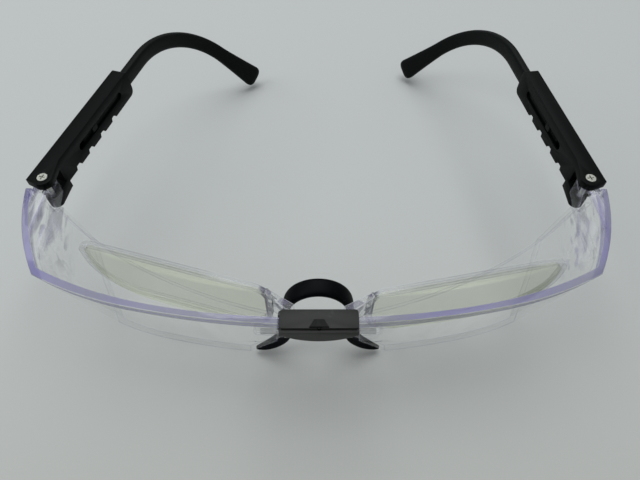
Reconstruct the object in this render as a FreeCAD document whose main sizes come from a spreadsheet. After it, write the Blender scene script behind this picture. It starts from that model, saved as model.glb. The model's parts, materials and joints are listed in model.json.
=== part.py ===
import FreeCAD, Part
import os
import re
from math import pi, radians

import Sketcher
from FreeCAD import Placement, Rotation, Vector

# A spectacle-type magnifier: a clear wrap-round shield, a two-lens insert hung from a brow latch,
# a rubber nose saddle, and temples whose ear stems slide in box sheaths.
# Lengths are millimetres. +X is the wearer's left as seen from the front, +Y runs back to the ears,
# +Z is up and z = 0 is the table. Formulas take y = 0 at the middle of the brow's front edge; every
# piece is then set forward by origin_back, which puts the origin under the middle of the object.

doc = FreeCAD.newDocument("head_visor_magnifier")
sheet = doc.addObject("Spreadsheet::Sheet", "sizes")

SIZES = {
    # clear shield
    "origin_back": 78.3, "brow_height": 45.0, "foot_inset": 11.2, "wall": 2.0,
    "brow_half": 50.0, "brow_radius": 234.0, "cheek_radius": 100.0, "side_radius": 72.6,
    "corner_half": 75.3, "corner_back": 14.6, "corner_turn": 42.4,
    "side_half": 86.6, "side_back": 46.0, "side_turn": 7.25,
    "shelf_thick": 2.0, "shelf_radius": 140.0, "shelf_end_half": 76.0, "shelf_end_back": 38.0,
    "shelf_nose_half": 13.0, "shelf_nose_back": 4.0,
    "nose_half": 22.7, "nose_neck_half": 12.4, "nose_margin": 1.0,
    "side_lobe_back": 50.5, "side_lobe_drop": 13.5, "side_lobe_foot": 13.0, "side_end_back": 44.4,
    # hinges
    "hinge_half": 81.9, "hinge_back": 47.7, "lug_radius": 3.2, "lug_drop": 1.5, "lug_tall": 5.4,
    "lug_gap": 0.2, "lug_inset": 1.2, "lug_nose_inner": 2.0, "lug_nose_outer": 3.6,
    "lug_nose_back": 10.0, "lug_skin": 1.9,
    "screw_radius": 0.8, "screw_clearance": 0.05, "screw_head_radius": 1.5,
    "screw_head_height": 0.75, "washer_thick": 0.25, "nut_width": 2.6, "nut_height": 1.5,
    "recess_width": 0.35, "recess_length": 1.9, "recess_depth": 0.5,
    # temples
    "right_toe_in": 8.0, "left_toe_in": 15.2, "sheath_length": 52.0, "sheath_width": 5.0,
    "sheath_inner": 1.0, "sheath_rise": 1.0, "sheath_tall": 9.4,
    "fork_radius": 3.1, "knob_radius": 2.2, "fork_tall": 3.9, "fork_back": 6.0,
    "stem_width": 3.4, "stem_height": 5.8, "stem_round": 1.1, "stem_clearance": 0.1,
    "channel_front": 11.5, "stem_start": 20.5, "stem_bend": 64.4, "stem_radius": 41.6,
    "stem_turn": 66.5, "stem_roll": 34.3, "stem_tail": 22.9, "tip_flare": 1.85,
    "top_wall": 1.5, "notch_pitch": 7.85, "notch_first": 12.2, "notch_length": 3.0,
    "notch_depth": 1.3, "slot_front": 17.0, "slot_back": 45.0, "slot_width": 2.7,
    "stud_length": 3.2, "stud_clearance": 0.15, "stud_place": 27.1,
    # latch over the brow
    "latch_half": 9.8, "latch_rise": 1.9, "latch_front": 1.8, "latch_bulge": 2.6,
    "latch_back": 3.3, "latch_gap": 0.15, "latch_rim_drop": 0.4,
    "latch_radius": 15.1, "latch_skirt": 0.2, "socket_half": 6.0, "socket_drop": 11.2,
    "socket_back": 8.6, "shoulder_drop": 8.5, "socket_wall": 0.7,
    "tab_half": 3.5, "tab_thick": 1.2, "tab_reach": 4.2, "tab_clearance": 0.22,
    "button_front_half": 2.4, "button_back_half": 1.1, "button_depth": 2.0, "button_thick": 0.7,
    "button_gap": 0.12, "button_proud": 0.35, "button_travel": 0.5, "button_stem": 0.55,
    "button_reach": 3.3, "spring_reach": 4.9, "spring_wire": 0.09, "spring_radius": 0.4,
    "spring_pitch": 0.32,
    # magnifying insert
    "insert_yaw": 2.6, "insert_sweep": 13.8, "lens_near_half": 13.2, "lens_set": 9.8,
    "lens_length": 58.8, "lens_drop": 4.4, "lens_foot": 17.0, "rim_width": 1.8, "rim_depth": 1.8,
    "top_round": 5.0, "outer_round": 15.0, "inner_round": 11.0, "lens_edge": 1.2,
    "lens_front_radius": 190.0, "lens_dome": 2.2,
    "bridge_half": 7.4, "bridge_set": 4.3, "bridge_depth": 2.2, "bridge_tall": 3.4,
    "bridge_gap": 0.2, "arm_rise": 1.6, "arm_tall": 7.4, "arm_set_back": 0.5,
    # nose saddle
    "saddle_tilt": 9.0, "saddle_width": 5.4, "saddle_thick": 2.2, "saddle_back": 17.7,
    "saddle_drop": 11.0, "saddle_radius": 10.6, "saddle_leg_foot": 11.5, "saddle_foot_half": 20.4,
    "saddle_foot_height": 1.6, "saddle_foot_radius": 16.0, "saddle_tip_thick": 1.1,
    "boss_inner": 12.0, "boss_outer": 18.5, "boss_foot": 19.5, "boss_top": 26.0,
    "boss_set": 4.9, "boss_depth": 3.0, "ear_thick": 2.0, "ear_set": 0.7, "ear_back": 14.2,
    "ear_inset": 0.8, "ear_gap": 0.1, "plug_inset": 1.15, "plug_radius": 0.9, "plug_depth": 5.0,
    "plug_head_radius": 1.9,
    "plug_head_thick": 0.8,
}

# Heights that follow the brow and depths that follow the wall, so that a taller, lower or thicker
# shield keeps its latch, hinges, insert and saddle.
DERIVED = {
    "latch_top": "brow_height + latch_rise", "latch_rim": "brow_height - latch_rim_drop",
    "socket_foot": "brow_height - socket_drop", "socket_shoulder": "brow_height - shoulder_drop",
    "tab_top": "socket_foot + tab_reach", "bridge_foot": "socket_foot - bridge_tall",
    "arm_foot": "bridge_foot + arm_rise", "arm_top": "arm_foot + arm_tall",
    "lens_top": "brow_height - lens_drop", "lug_top": "brow_height - lug_drop",
    "lug_bottom": "lug_top - lug_tall", "sheath_top": "brow_height + sheath_rise",
    "sheath_bottom": "sheath_top - sheath_tall", "fork_bottom": "lug_bottom - fork_tall",
    "button_stem_foot": "latch_top - button_reach", "spring_foot": "latch_top - spring_reach",
    "saddle_crown": "brow_height - saddle_drop", "side_lobe_top": "brow_height - side_lobe_drop",
    "nose_neck_height": "saddle_crown - nose_margin - nose_neck_half",
    "bridge_front": "wall + bridge_set", "bridge_back": "bridge_front + bridge_depth",
    "boss_front": "wall + boss_set", "boss_back": "boss_front + boss_depth",
    "ear_front": "boss_front + ear_set", "plug_back": "boss_back - plug_inset",
    "lens_near_back": "wall + lens_set",
}

for row, (alias, amount) in enumerate(SIZES.items(), start=1):
    sheet.set(f"A{row}", alias)
    sheet.set(f"B{row}", str(amount))
    sheet.setAlias(f"B{row}", alias)
doc.recompute()

NAME = re.compile(r"[a-z]+(?:_[a-z]+)*")
XY, XZ, YZ = "XY_Plane", "XZ_Plane", "YZ_Plane"
HAIR = 0.0005  # what a half circle's radius is longer than half its chord
RIGHT, LEFT = 1, -1
SIDES = {"right": RIGHT, "left": LEFT}


def bound(formula):
    """The formula with derived heights written out and each size's name pointed at the sheet."""
    def pointed(match):
        word = match[0]
        return f"({bound(DERIVED[word])})" if word in DERIVED else f"sizes.{word}" if word in SIZES else word
    return NAME.sub(pointed, str(formula))


def number(formula):
    """What a formula comes to now, as a plain number."""
    result = sheet.evalExpression(bound(formula))
    return float(getattr(result, "Value", result))


# ---------------------------------------------------------------- sketches and features

def new_body(name, place=None, spin=None):
    """A body set forward by origin_back; place is (x, y) formulas and spin an angle about Z."""
    body = doc.addObject("PartDesign::Body", name)
    body.Label = name
    x, y = place or ("0", "0")
    body.Placement = Placement(Vector(0, 0, 0), Rotation(Vector(0, 0, 1), 1))
    body.setExpression("Placement.Base.x", bound(x))
    body.setExpression("Placement.Base.y", bound(f"({y}) - origin_back"))
    body.setExpression("Placement.Rotation.Angle", bound(f"({spin or 0}) * 1deg"))
    return body


def new_sketch(body, name, plane, lift="0", tilt=None):
    """A sketch on one of the body's own planes, lifted along its normal and perhaps tilted."""
    sketch = body.newObject("Sketcher::SketchObject", name)
    support = [f for f in body.Origin.OriginFeatures if f.Role == plane][0]
    sketch.AttachmentSupport = [(support, "")]
    sketch.MapMode = "FlatFace"
    if tilt:
        axis, angle = tilt
        sketch.AttachmentOffset = Placement(Vector(0, 0, 0), Rotation(Vector(*axis), 1))
        sketch.setExpression("AttachmentOffset.Rotation.Angle", bound(f"({angle}) * 1deg"))
    sketch.setExpression("AttachmentOffset.Base.z", bound(lift))
    return sketch


def pin_point(sketch, edge, end, x, y):
    """Ties one end of a sketch edge to its two formulas."""
    for kind, formula in (("DistanceX", x), ("DistanceY", y)):
        index = sketch.addConstraint(Sketcher.Constraint(kind, -1, 1, edge, end, number(formula)))
        sketch.setExpression(f"Constraints[{index}]", bound(formula))


def draw_loop(sketch, corners, side=RIGHT):
    """A closed loop. A corner is (x, y) or (x, y, radius): with a radius, the run that leaves it
    is an arc, turning left where the radius is positive and right where it is negative."""
    flip = "" if side == RIGHT else "-1 * "
    runs = []
    for i, corner in enumerate(corners):
        x, y = f"{flip}({corner[0]})", corner[1]
        after = corners[(i + 1) % len(corners)]
        a = Vector(number(x), number(y), 0)
        b = Vector(number(f"{flip}({after[0]})"), number(after[1]), 0)
        if len(corner) < 3:
            edge = sketch.addGeometry(Part.LineSegment(a, b), False)
            ends = (1, 2)
        else:
            radius = number(corner[2]) * side
            middle, half = (a + b) * 0.5, (b - a) * 0.5
            normal = Vector(-half.y, half.x, 0).normalize()
            reach = (radius ** 2 - half.Length ** 2) ** 0.5
            centre = middle + normal * (reach if radius > 0 else -reach)
            first, last = (a, b) if radius > 0 else (b, a)
            east = Vector(1, 0, 0)
            angles = [east.getAngle(p - centre) * (1 if (p - centre).y >= 0 else -1)
                      for p in (first, last)]
            circle = Part.Circle(centre, Vector(0, 0, 1), abs(radius))
            edge = sketch.addGeometry(Part.ArcOfCircle(circle, *angles), False)
            ends = (1, 2) if radius > 0 else (2, 1)
            index = sketch.addConstraint(Sketcher.Constraint("Radius", edge, abs(radius)))
            sign = "-1 * " if number(corner[2]) < 0 else ""
            sketch.setExpression(f"Constraints[{index}]", bound(f"{sign}({corner[2]})"))
        runs.append((edge, ends, x, y))
    for i, (edge, ends, x, y) in enumerate(runs):
        before, before_ends = runs[i - 1][:2]
        sketch.addConstraint(Sketcher.Constraint("Coincident", before, before_ends[1], edge, ends[0]))
        pin_point(sketch, edge, ends[0], x, y)
    return sketch


def draw_circle(sketch, x, y, radius, side=RIGHT):
    """A circle tied to its centre and radius formulas."""
    x = f"{side} * ({x})"
    centre = Vector(number(x), number(y), 0)
    edge = sketch.addGeometry(Part.Circle(centre, Vector(0, 0, 1), number(radius)), False)
    pin_point(sketch, edge, 3, x, y)
    index = sketch.addConstraint(Sketcher.Constraint("Radius", edge, number(radius)))
    sketch.setExpression(f"Constraints[{index}]", bound(radius))
    return sketch


def pad(body, name, sketch, length, back=False):
    """Adds material from the sketch along its normal, or against it."""
    feature = body.newObject("PartDesign::Pad", name)
    feature.Profile = sketch
    feature.setExpression("Length", bound(length))
    feature.Reversed = back
    return feature


def pocket(body, name, sketch, length, along=False):
    """Takes material away against the sketch's normal, or along it."""
    doc.recompute()
    before = body.Shape.Volume
    feature = body.newObject("PartDesign::Pocket", name)
    feature.Profile = sketch
    feature.setExpression("Length", bound(length))
    feature.Reversed = along
    doc.recompute()
    if body.Shape.Volume >= before - 1e-6:
        raise RuntimeError(f"{name} cuts nothing")
    return feature


def rounded_rectangle(left, bottom, right, top, radius):
    """Corners of a rectangle with equal rounds, for draw_loop."""
    return [(f"{left} + {radius}", bottom), (f"{right} - {radius}", bottom, radius),
            (right, f"{bottom} + {radius}"), (right, f"{top} - {radius}", radius),
            (f"{right} - {radius}", top), (f"{left} + {radius}", top, radius),
            (left, f"{top} - {radius}"), (left, f"{bottom} + {radius}", radius)]


# ---------------------------------------------------------------- clear shield

BROW_TURN = "asin(brow_half / brow_radius)"
FOOT_SLOPE = "foot_inset / brow_height"


def shield_plan(inset):
    """The shield's outline seen from above, drawn in by an inset, from right rear to left rear."""
    mid_x = f"brow_half - ({inset}) * sin({BROW_TURN})"
    mid_y = f"brow_radius - sqrt(brow_radius^2 - brow_half^2) + ({inset}) * cos({BROW_TURN})"
    corner_x = f"corner_half - sin(corner_turn) * ({inset})"
    corner_y = f"corner_back + cos(corner_turn) * ({inset})"
    side_x = f"side_half - cos(side_turn) * ({inset})"
    side_y = "side_back + wall"
    return [(side_x, side_y, f"-1 * (side_radius - ({inset}))"),
            (corner_x, corner_y, f"-1 * (cheek_radius - ({inset}))"),
            (mid_x, mid_y, f"-1 * (brow_radius - ({inset}))"),
            (f"-1 * ({mid_x})", mid_y, f"-1 * (cheek_radius - ({inset}))"),
            (f"-1 * ({corner_x})", corner_y, f"-1 * (side_radius - ({inset}))"),
            (f"-1 * ({side_x})", side_y)]


def make_visor_shield():
    """Sloping wall round the front and sides, brow shelf, nose cut-out, hinge lugs and bosses."""
    body = new_body("visor_shield")
    for kind, name, inset in (("PartDesign::AdditiveLoft", "outer", "0"),
                              ("PartDesign::SubtractiveLoft", "inner", "wall")):
        top = draw_loop(new_sketch(body, f"{name}_brow", XY, "brow_height"), shield_plan(inset))
        foot = draw_loop(new_sketch(body, f"{name}_foot", XY), shield_plan(f"foot_inset + {inset}"))
        loft = body.newObject(kind, f"{name}_loft")
        loft.Profile = top
        loft.Sections = [foot]
        loft.Ruled = True
        doc.recompute()

    shelf_plan = shield_plan("wall / 2")[:3]
    shelf_plan[0] = (shelf_plan[0][0], "side_end_back - 1", shelf_plan[0][2])
    mirrored = [(f"-1 * ({x})", y) for x, y, _ in reversed(shelf_plan)]
    turns = [shelf_plan[1][2], shelf_plan[0][2]]
    corners = shelf_plan + [(*mirrored[0], turns[0]), (*mirrored[1], turns[1]), mirrored[2]]
    ends = [("-1 * (hinge_half - lug_radius)", "side_end_back - 1"),
            ("-1 * shelf_end_half", "shelf_end_back", "shelf_radius"),
            ("-1 * shelf_nose_half", "shelf_nose_back"), ("-1 * latch_half - 1", "wall - 0.05"),
            ("latch_half + 1", "wall - 0.05"), ("shelf_nose_half", "shelf_nose_back", "shelf_radius"),
            ("shelf_end_half", "shelf_end_back"),
            ("hinge_half - lug_radius", "side_end_back - 1")]
    shelf = draw_loop(new_sketch(body, "shelf_plan", XY, "brow_height - shelf_thick"), corners + ends)
    pad(body, "brow_shelf", shelf, "shelf_thick")

    trim = new_sketch(body, "side_trim_outline", YZ, "-side_half - wall")
    draw_loop(trim, [("side_end_back", "brow_height + 1"), ("side_end_back", "side_lobe_top + 2"),
                     ("side_lobe_back - 2", "side_lobe_top"), ("side_lobe_back", "side_lobe_top - 2"),
                     ("side_lobe_back", "side_lobe_foot + 3"),
                     ("side_lobe_back - 3", "side_lobe_foot", "-60"),
                     ("corner_back + foot_inset - 2", "-1"), ("side_back + 20", "-1"),
                     ("side_back + 20", "brow_height + 1")])
    pocket(body, "side_trim", trim, "2 * (side_half + wall)", along=True)

    nose = new_sketch(body, "nose_outline", XZ, "wall")
    draw_loop(nose, [("-1 * nose_half", "-1"), ("nose_half", "-1"),
                     ("nose_neck_half", "nose_neck_height", f"nose_neck_half + {HAIR}"),
                     ("-1 * nose_neck_half", "nose_neck_height")])
    pocket(body, "nose_cut", nose, "foot_inset + 4 * wall")

    for name, side in SIDES.items():
        lug = new_sketch(body, f"{name}_lug_plan", XY, "lug_bottom")
        draw_loop(lug, [("hinge_half + lug_radius", "hinge_back", "lug_radius + 0.001"),
                        ("hinge_half - lug_radius", "hinge_back"),
                        ("shelf_end_half + lug_inset", "shelf_end_back"),
                        ("corner_half + lug_nose_inner", "corner_back + lug_nose_back"),
                        ("corner_half + lug_nose_outer", "corner_back + lug_nose_back - 1"),
                        ("side_half - lug_skin", "side_end_back - 2"),
                        ("hinge_half + lug_radius", "side_end_back")], side)
        pad(body, f"{name}_hinge_lug", lug, "lug_top - lug_bottom")
        bore = new_sketch(body, f"{name}_lug_bore_plan", XY, "lug_top + 0.1")
        draw_circle(bore, "hinge_half", "hinge_back", "screw_radius + screw_clearance", side)
        pocket(body, f"{name}_lug_bore", bore, "lug_top - lug_bottom + 0.2")
        boss = new_sketch(body, f"{name}_boss_plan", XY, "boss_foot")
        draw_loop(boss, [("boss_inner", "boss_front"), ("boss_outer", "boss_front"),
                         ("boss_outer", "boss_back"), ("boss_inner", "boss_back")], side)
        pad(body, f"{name}_saddle_boss", boss, "boss_top - boss_foot")
        hole = new_sketch(body, f"{name}_boss_hole_side", YZ, f"{side} * boss_inner")
        draw_circle(hole, "plug_back", "(boss_foot + boss_top) / 2", "plug_radius")
        pocket(body, f"{name}_boss_hole", hole, "plug_depth", along=side == RIGHT)
    return body


# ---------------------------------------------------------------- hinges and temples

def make_hinge_screw(name, place, toe_in):
    """Cross-recessed pan head over a plain shank that ends at the nut's foot."""
    body = new_body(f"{name}_hinge_screw", place, toe_in)
    head_seat = "sheath_top - screw_head_height"
    shank = draw_circle(new_sketch(body, "shank_plan", XY, "fork_bottom"), "0", "0", "screw_radius")
    pad(body, "shank", shank, f"{head_seat} - fork_bottom")
    head = draw_circle(new_sketch(body, "head_plan", XY, head_seat), "0", "0", "screw_head_radius")
    pad(body, "head", head, "screw_head_height")
    for across, along, label in (("recess_length", "recess_width", "wide"),
                                 ("recess_width", "recess_length", "deep")):
        cross = new_sketch(body, f"recess_{label}", XY, "sheath_top")
        draw_loop(cross, [(f"-{across} / 2", f"-{along} / 2"), (f"{across} / 2", f"-{along} / 2"),
                          (f"{across} / 2", f"{along} / 2"), (f"-{across} / 2", f"{along} / 2")])
        pocket(body, f"recess_{label}_cut", cross, "recess_depth")
    return body


def make_ring(name, place, toe_in, foot, height, corners=None, radius="0", bore="screw_radius"):
    """A nut or washer: an outline, or a circle, with a round hole."""
    body = new_body(name, place, toe_in)
    plan = new_sketch(body, "plan", XY, foot)
    if corners:
        draw_loop(plan, corners)
    else:
        draw_circle(plan, "0", "0", radius)
    draw_circle(plan, "0", "0", bore)
    pad(body, "ring", plan, height)
    return body


def hexagon(width):
    """Six corners of a hexagon, by its width across flats."""
    return [(f"{width} / sqrt(3) * cos({60 * i})", f"{width} / sqrt(3) * sin({60 * i})")
            for i in range(6)]


CHANNEL_FOOT = "sheath_top - top_wall - stem_height - 2 * stem_clearance"
CHANNEL_MID = "sheath_top - top_wall - stem_clearance - stem_height / 2"
STEM_MID = "sheath_width / 2 - sheath_inner"
OUTER = "sheath_width - sheath_inner"


def make_temple_sheath(name, side, place, toe_in):
    """Box with a fork at its front, a channel for the stem, a guide slot and four finger notches."""
    body = new_body(f"{name}_temple_sheath", place, toe_in)
    inner = f"{side} * -1 * sheath_inner"
    notches = []
    for i in range(4):
        start = f"notch_first + {i} * notch_pitch"
        notches += [(start, "sheath_bottom"), (f"{start} + 0.4", "sheath_bottom + notch_depth"),
                    (f"{start} + notch_length - 0.6", "sheath_bottom + notch_depth"),
                    (f"{start} + notch_length", "sheath_bottom")]
    profile = new_sketch(body, "side_outline", YZ, inner)
    draw_loop(profile, [("0", "sheath_bottom")] + notches +
              [("sheath_length - 2", "sheath_bottom", "2"), ("sheath_length", "sheath_bottom + 2"),
               ("sheath_length", "sheath_top - 1.5", "1.5"), ("sheath_length - 1.5", "sheath_top"),
               ("0", "sheath_top")])
    pad(body, "box", profile, "sheath_width", back=side == LEFT)

    rear = ("-1 * sheath_inner", "fork_back + 1.5")
    ears = {"upper": ("lug_top + lug_gap", "sheath_top - lug_top - lug_gap",
                      [("-1 * fork_radius", "0", "fork_radius"), ("0", "-1 * fork_radius"),
                       (OUTER, "-0.7 * fork_radius"), (OUTER, "fork_back + 1.5")]),
            "lower": ("fork_bottom", "lug_bottom - lug_gap - fork_bottom",
                      [("-1 * knob_radius", "0", f"knob_radius + {HAIR}"), ("knob_radius", "0"),
                       ("knob_radius", "fork_back + 1.5")])}
    for label, (foot, height, front) in ears.items():
        ear = new_sketch(body, f"{label}_ear_plan", XY, foot)
        draw_loop(ear, [rear] + front, side)
        pad(body, f"{label}_ear", ear, height)

    gap = new_sketch(body, "lug_gap_plan", XY, "lug_bottom - lug_gap")
    draw_loop(gap, [("-2 * fork_radius", "-2 * fork_radius"), ("2 * fork_radius", "-2 * fork_radius"),
                    ("2 * fork_radius", "fork_back"), ("-2 * fork_radius", "fork_back")], side)
    pocket(body, "lug_gap_cut", gap, "lug_top - lug_bottom + 2 * lug_gap", along=True)

    bore = new_sketch(body, "screw_bore_plan", XY, "fork_bottom - 0.1")
    draw_circle(bore, "0", "0", "screw_radius + screw_clearance")
    pocket(body, "screw_bore", bore, "sheath_top - fork_bottom + 0.2", along=True)
    sink = new_sketch(body, "head_seat_plan", XY, "sheath_top")
    draw_circle(sink, "0", "0", "screw_head_radius + 2 * screw_clearance")
    pocket(body, "head_seat", sink, "screw_head_height + washer_thick")
    seat = draw_loop(new_sketch(body, "nut_seat_plan", XY, "fork_bottom"), hexagon("(nut_width + 0.06)"))
    pocket(body, "nut_seat", seat, "nut_height", along=True)

    channel = new_sketch(body, "channel_section", XZ, "-1 * channel_front")
    wide = "(stem_width / 2 + stem_clearance)"
    draw_loop(channel, rounded_rectangle(f"{STEM_MID} - {wide}", CHANNEL_FOOT, f"{STEM_MID} + {wide}",
                                         "sheath_top - top_wall", "stem_round"), side)
    pocket(body, "stem_channel", channel, "sheath_length")

    slot = new_sketch(body, "slot_outline", YZ, f"{side} * ({STEM_MID} - stem_width / 2)")
    half = "slot_width / 2"
    draw_loop(slot, [(f"slot_front + {half}", f"{CHANNEL_MID} - {half}"),
                     (f"slot_back - {half}", f"{CHANNEL_MID} - {half}", f"{half} + {HAIR}"),
                     (f"slot_back - {half}", f"{CHANNEL_MID} + {half}"),
                     (f"slot_front + {half}", f"{CHANNEL_MID} + {half}", f"{half} + {HAIR}")])
    pocket(body, "guide_slot", slot, "sheath_width", along=side == LEFT)
    return body


def make_ear_stem(name, side, place, toe_in):
    """Rounded bar: straight in the sheath, bent down and inward behind the ear, flared at the tip."""
    body = new_body(f"{name}_ear_stem", place, toe_in)
    across, height = number(f"{side} * ({STEM_MID})"), number(CHANNEL_MID)
    turn, roll = number("stem_turn"), number("stem_roll")
    radius, bend, start = number("stem_radius"), number("stem_bend"), number("stem_start")
    ahead = Vector(0, 1, 0)
    down_in = Rotation(Vector(0, 1, 0), side * roll).multVec(Vector(0, 0, -1))
    hinge_line = ahead.cross(down_in)
    swing = Rotation(hinge_line, turn)
    bend_start = Vector(across, bend, height)
    bend_end = bend_start + down_in * radius + swing.multVec(down_in * -radius)
    upright = Rotation(Vector(1, 0, 0), 90)

    path = body.newObject("Sketcher::SketchObject", "path")
    plane_turn = Rotation(Vector(ahead), Vector(down_in), ahead.cross(down_in), "XYZ")
    path.Placement = Placement(Vector(across, start, height), plane_turn)
    straight = path.addGeometry(Part.LineSegment(Vector(0, 0, 0), Vector(bend - start, 0, 0)), False)
    centre = Vector(bend - start, radius, 0)
    circle = Part.Circle(centre, Vector(0, 0, 1), radius)
    arc = path.addGeometry(Part.ArcOfCircle(circle, -pi / 2, -pi / 2 + radians(turn)), False)
    path.addConstraint(Sketcher.Constraint("Coincident", straight, 1, -1, 1))
    path.addConstraint(Sketcher.Constraint("PointOnObject", straight, 2, -1))
    path.addConstraint(Sketcher.Constraint("Tangent", straight, 2, arc, 1))
    length = path.addConstraint(Sketcher.Constraint("DistanceX", straight, 1, straight, 2, bend - start))
    path.setExpression(f"Constraints[{length}]", bound("stem_bend - stem_start"))
    bow = path.addConstraint(Sketcher.Constraint("Radius", arc, radius))
    path.setExpression(f"Constraints[{bow}]", bound("stem_radius"))

    def section(label, place, grow):
        """The bar's section, taller by grow and wider by a third of it, at a free place."""
        sketch = body.newObject("Sketcher::SketchObject", label)
        sketch.Placement = place
        tall, wide = f"(stem_height + {grow}) / 2", f"(stem_width + {grow} / 3) / 2"
        draw_loop(sketch, rounded_rectangle(f"-1 * {wide}", f"-1 * {tall}", wide, tall, "stem_round"))
        return sketch

    pipe = body.newObject("PartDesign::AdditivePipe", "bar")
    pipe.Profile = section("bar_section", Placement(Vector(across, start, height), upright), "0")
    pipe.Spine = (path, ["Edge1", "Edge2"])
    doc.recompute()

    swung = swing.multiply(upright)
    tail = number("stem_tail")
    places = [(0, "0"), (0.45 * tail, "tip_flare"), (tail, "2 * tip_flare")]
    sketches = [section(f"tail_section_{i}", Placement(bend_end + swing.multVec(ahead) * far, swung), grow)
                for i, (far, grow) in enumerate(places)]
    loft = body.newObject("PartDesign::AdditiveLoft", "tail")
    loft.Profile = sketches[0]
    loft.Sections = sketches[1:]
    loft.Ruled = False
    doc.recompute()

    stud = new_sketch(body, "stud_outline", YZ, f"{side} * ({STEM_MID} - stem_width / 2 + 0.5)")
    half = "(slot_width / 2 - stud_clearance)"
    draw_loop(stud, [("stud_place - stud_length / 2", f"{CHANNEL_MID} - {half}"),
                     ("stud_place + stud_length / 2", f"{CHANNEL_MID} - {half}"),
                     ("stud_place + stud_length / 2", f"{CHANNEL_MID} + {half}"),
                     ("stud_place - stud_length / 2", f"{CHANNEL_MID} + {half}")])
    pad(body, "guide_stud", stud, "0.5 + stem_clearance + (sheath_width - stem_width) / 2 - 0.2",
        back=side == RIGHT)
    return body


# ---------------------------------------------------------------- latch

TAB_FRONT = f"wall + latch_gap + (brow_height - socket_foot) * {FOOT_SLOPE} + socket_wall"
BUTTON_STEM_BACK = "-1 * (latch_bulge + latch_skirt) / 2"


def make_latch_housing():
    """Black clip: top plate, crescent front, sloping rear skirt with the insert's socket."""
    body = new_body("latch_housing")
    plate = new_sketch(body, "plate_plan", XY, "brow_height + latch_gap")
    draw_loop(plate, rounded_rectangle("-1 * latch_half", "-1 * latch_front", "latch_half",
                                       "latch_back", "0.9"))
    pad(body, "top_plate", plate, "latch_top - brow_height - latch_gap")

    front = new_sketch(body, "crescent", XZ, "latch_skirt")
    draw_loop(front, [("-1 * latch_half", "latch_rim", "latch_radius"), ("latch_half", "latch_rim"),
                      ("latch_half", "latch_top - 0.8"), ("-1 * latch_half", "latch_top - 0.8")])
    pad(body, "front_crescent", front, "latch_bulge - latch_skirt")

    wall_back = "wall + latch_gap"
    skirt = new_sketch(body, "skirt_outline", YZ, "-1 * socket_half")
    draw_loop(skirt, [(f"{wall_back} + 0.1", "brow_height + latch_gap + 0.3"),
                      (f"{wall_back} + 0.1", "brow_height"),
                      (f"{wall_back} + (brow_height - socket_foot) * {FOOT_SLOPE}", "socket_foot"),
                      ("socket_back", "socket_foot"), ("socket_back", "socket_shoulder"),
                      ("latch_back", "brow_height"), ("latch_back", "brow_height + latch_gap + 0.3")])
    pad(body, "rear_skirt", skirt, "2 * socket_half")

    socket = new_sketch(body, "socket_plan", XY, "socket_foot")
    grow = "tab_clearance"
    draw_loop(socket, [(f"-1 * tab_half - {grow}", f"{TAB_FRONT} - {grow}"),
                       (f"tab_half + {grow}", f"{TAB_FRONT} - {grow}"),
                       (f"tab_half + {grow}", f"{TAB_FRONT} + tab_thick + {grow}"),
                       (f"-1 * tab_half - {grow}", f"{TAB_FRONT} + tab_thick + {grow}")])
    pocket(body, "tab_socket", socket, "tab_top - socket_foot + 0.3", along=True)

    well = new_sketch(body, "button_well_plan", XY, "latch_top")
    draw_loop(well, button_plan("button_gap"))
    pocket(body, "button_well", well, "button_thick + button_travel + 0.1 - button_proud")
    shaft = new_sketch(body, "button_shaft_plan", XY, "latch_top")
    draw_circle(shaft, "0", BUTTON_STEM_BACK, "button_stem + button_gap")
    pocket(body, "button_shaft", shaft, "latch_top - spring_foot")
    return body


def button_plan(grow):
    """Trapezoid of the button's head, wide edge to the front, grown all round."""
    front, back = "-1 * latch_front + 0.25", "-1 * latch_front + 0.25 + button_depth"
    return [(f"-1 * button_front_half - {grow}", f"{front} - {grow}"),
            (f"button_front_half + {grow}", f"{front} - {grow}"),
            (f"button_back_half + {grow}", f"{back} + {grow}"),
            (f"-1 * button_back_half - {grow}", f"{back} + {grow}")]


def make_release_button():
    """Trapezoid head flush in the latch's top plate, with a round stem down into the crescent."""
    body = new_body("release_button")
    head_foot = "latch_top + button_proud - button_thick"
    head = draw_loop(new_sketch(body, "head_plan", XY, head_foot), button_plan("0"))
    pad(body, "head", head, "button_thick")
    stem = draw_circle(new_sketch(body, "stem_plan", XY, "button_stem_foot"), "0", BUTTON_STEM_BACK,
                       "button_stem")
    pad(body, "stem", stem, f"{head_foot} + button_thick / 2 - button_stem_foot")
    return body


def make_button_spring():
    """Round-wire coil between the well's floor and the button's stem."""
    helix = doc.addObject("Part::Helix", "spring_line")
    for key, formula in (("Pitch", "spring_pitch"), ("Radius", "spring_radius"),
                         ("Height", "button_stem_foot - spring_foot - 2 * spring_wire - 0.02")):
        helix.setExpression(key, bound(formula))
    wire = doc.addObject("Part::Circle", "spring_wire_section")
    wire.Placement = Placement(Vector(0, 0, 0), Rotation(Vector(1, 0, 0), 90))
    wire.setExpression("Radius", bound("spring_wire"))
    wire.setExpression("Placement.Base.x", bound("spring_radius"))
    doc.recompute()
    coil = doc.addObject("Part::Sweep", "button_spring")
    coil.Sections = [wire]
    coil.Spine = (helix, [f"Edge{i + 1}" for i in range(len(helix.Shape.Edges))])
    coil.Solid = True
    coil.Frenet = True
    coil.Label = "button_spring"
    coil.setExpression("Placement.Base.y", bound(f"{BUTTON_STEM_BACK} - origin_back"))
    coil.setExpression("Placement.Base.z", bound("spring_foot + spring_wire + 0.01"))
    return coil


# ---------------------------------------------------------------- magnifying insert

INSERT_SHIFT = f"({TAB_FRONT} + tab_thick / 2) * sin(insert_yaw)"


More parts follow.
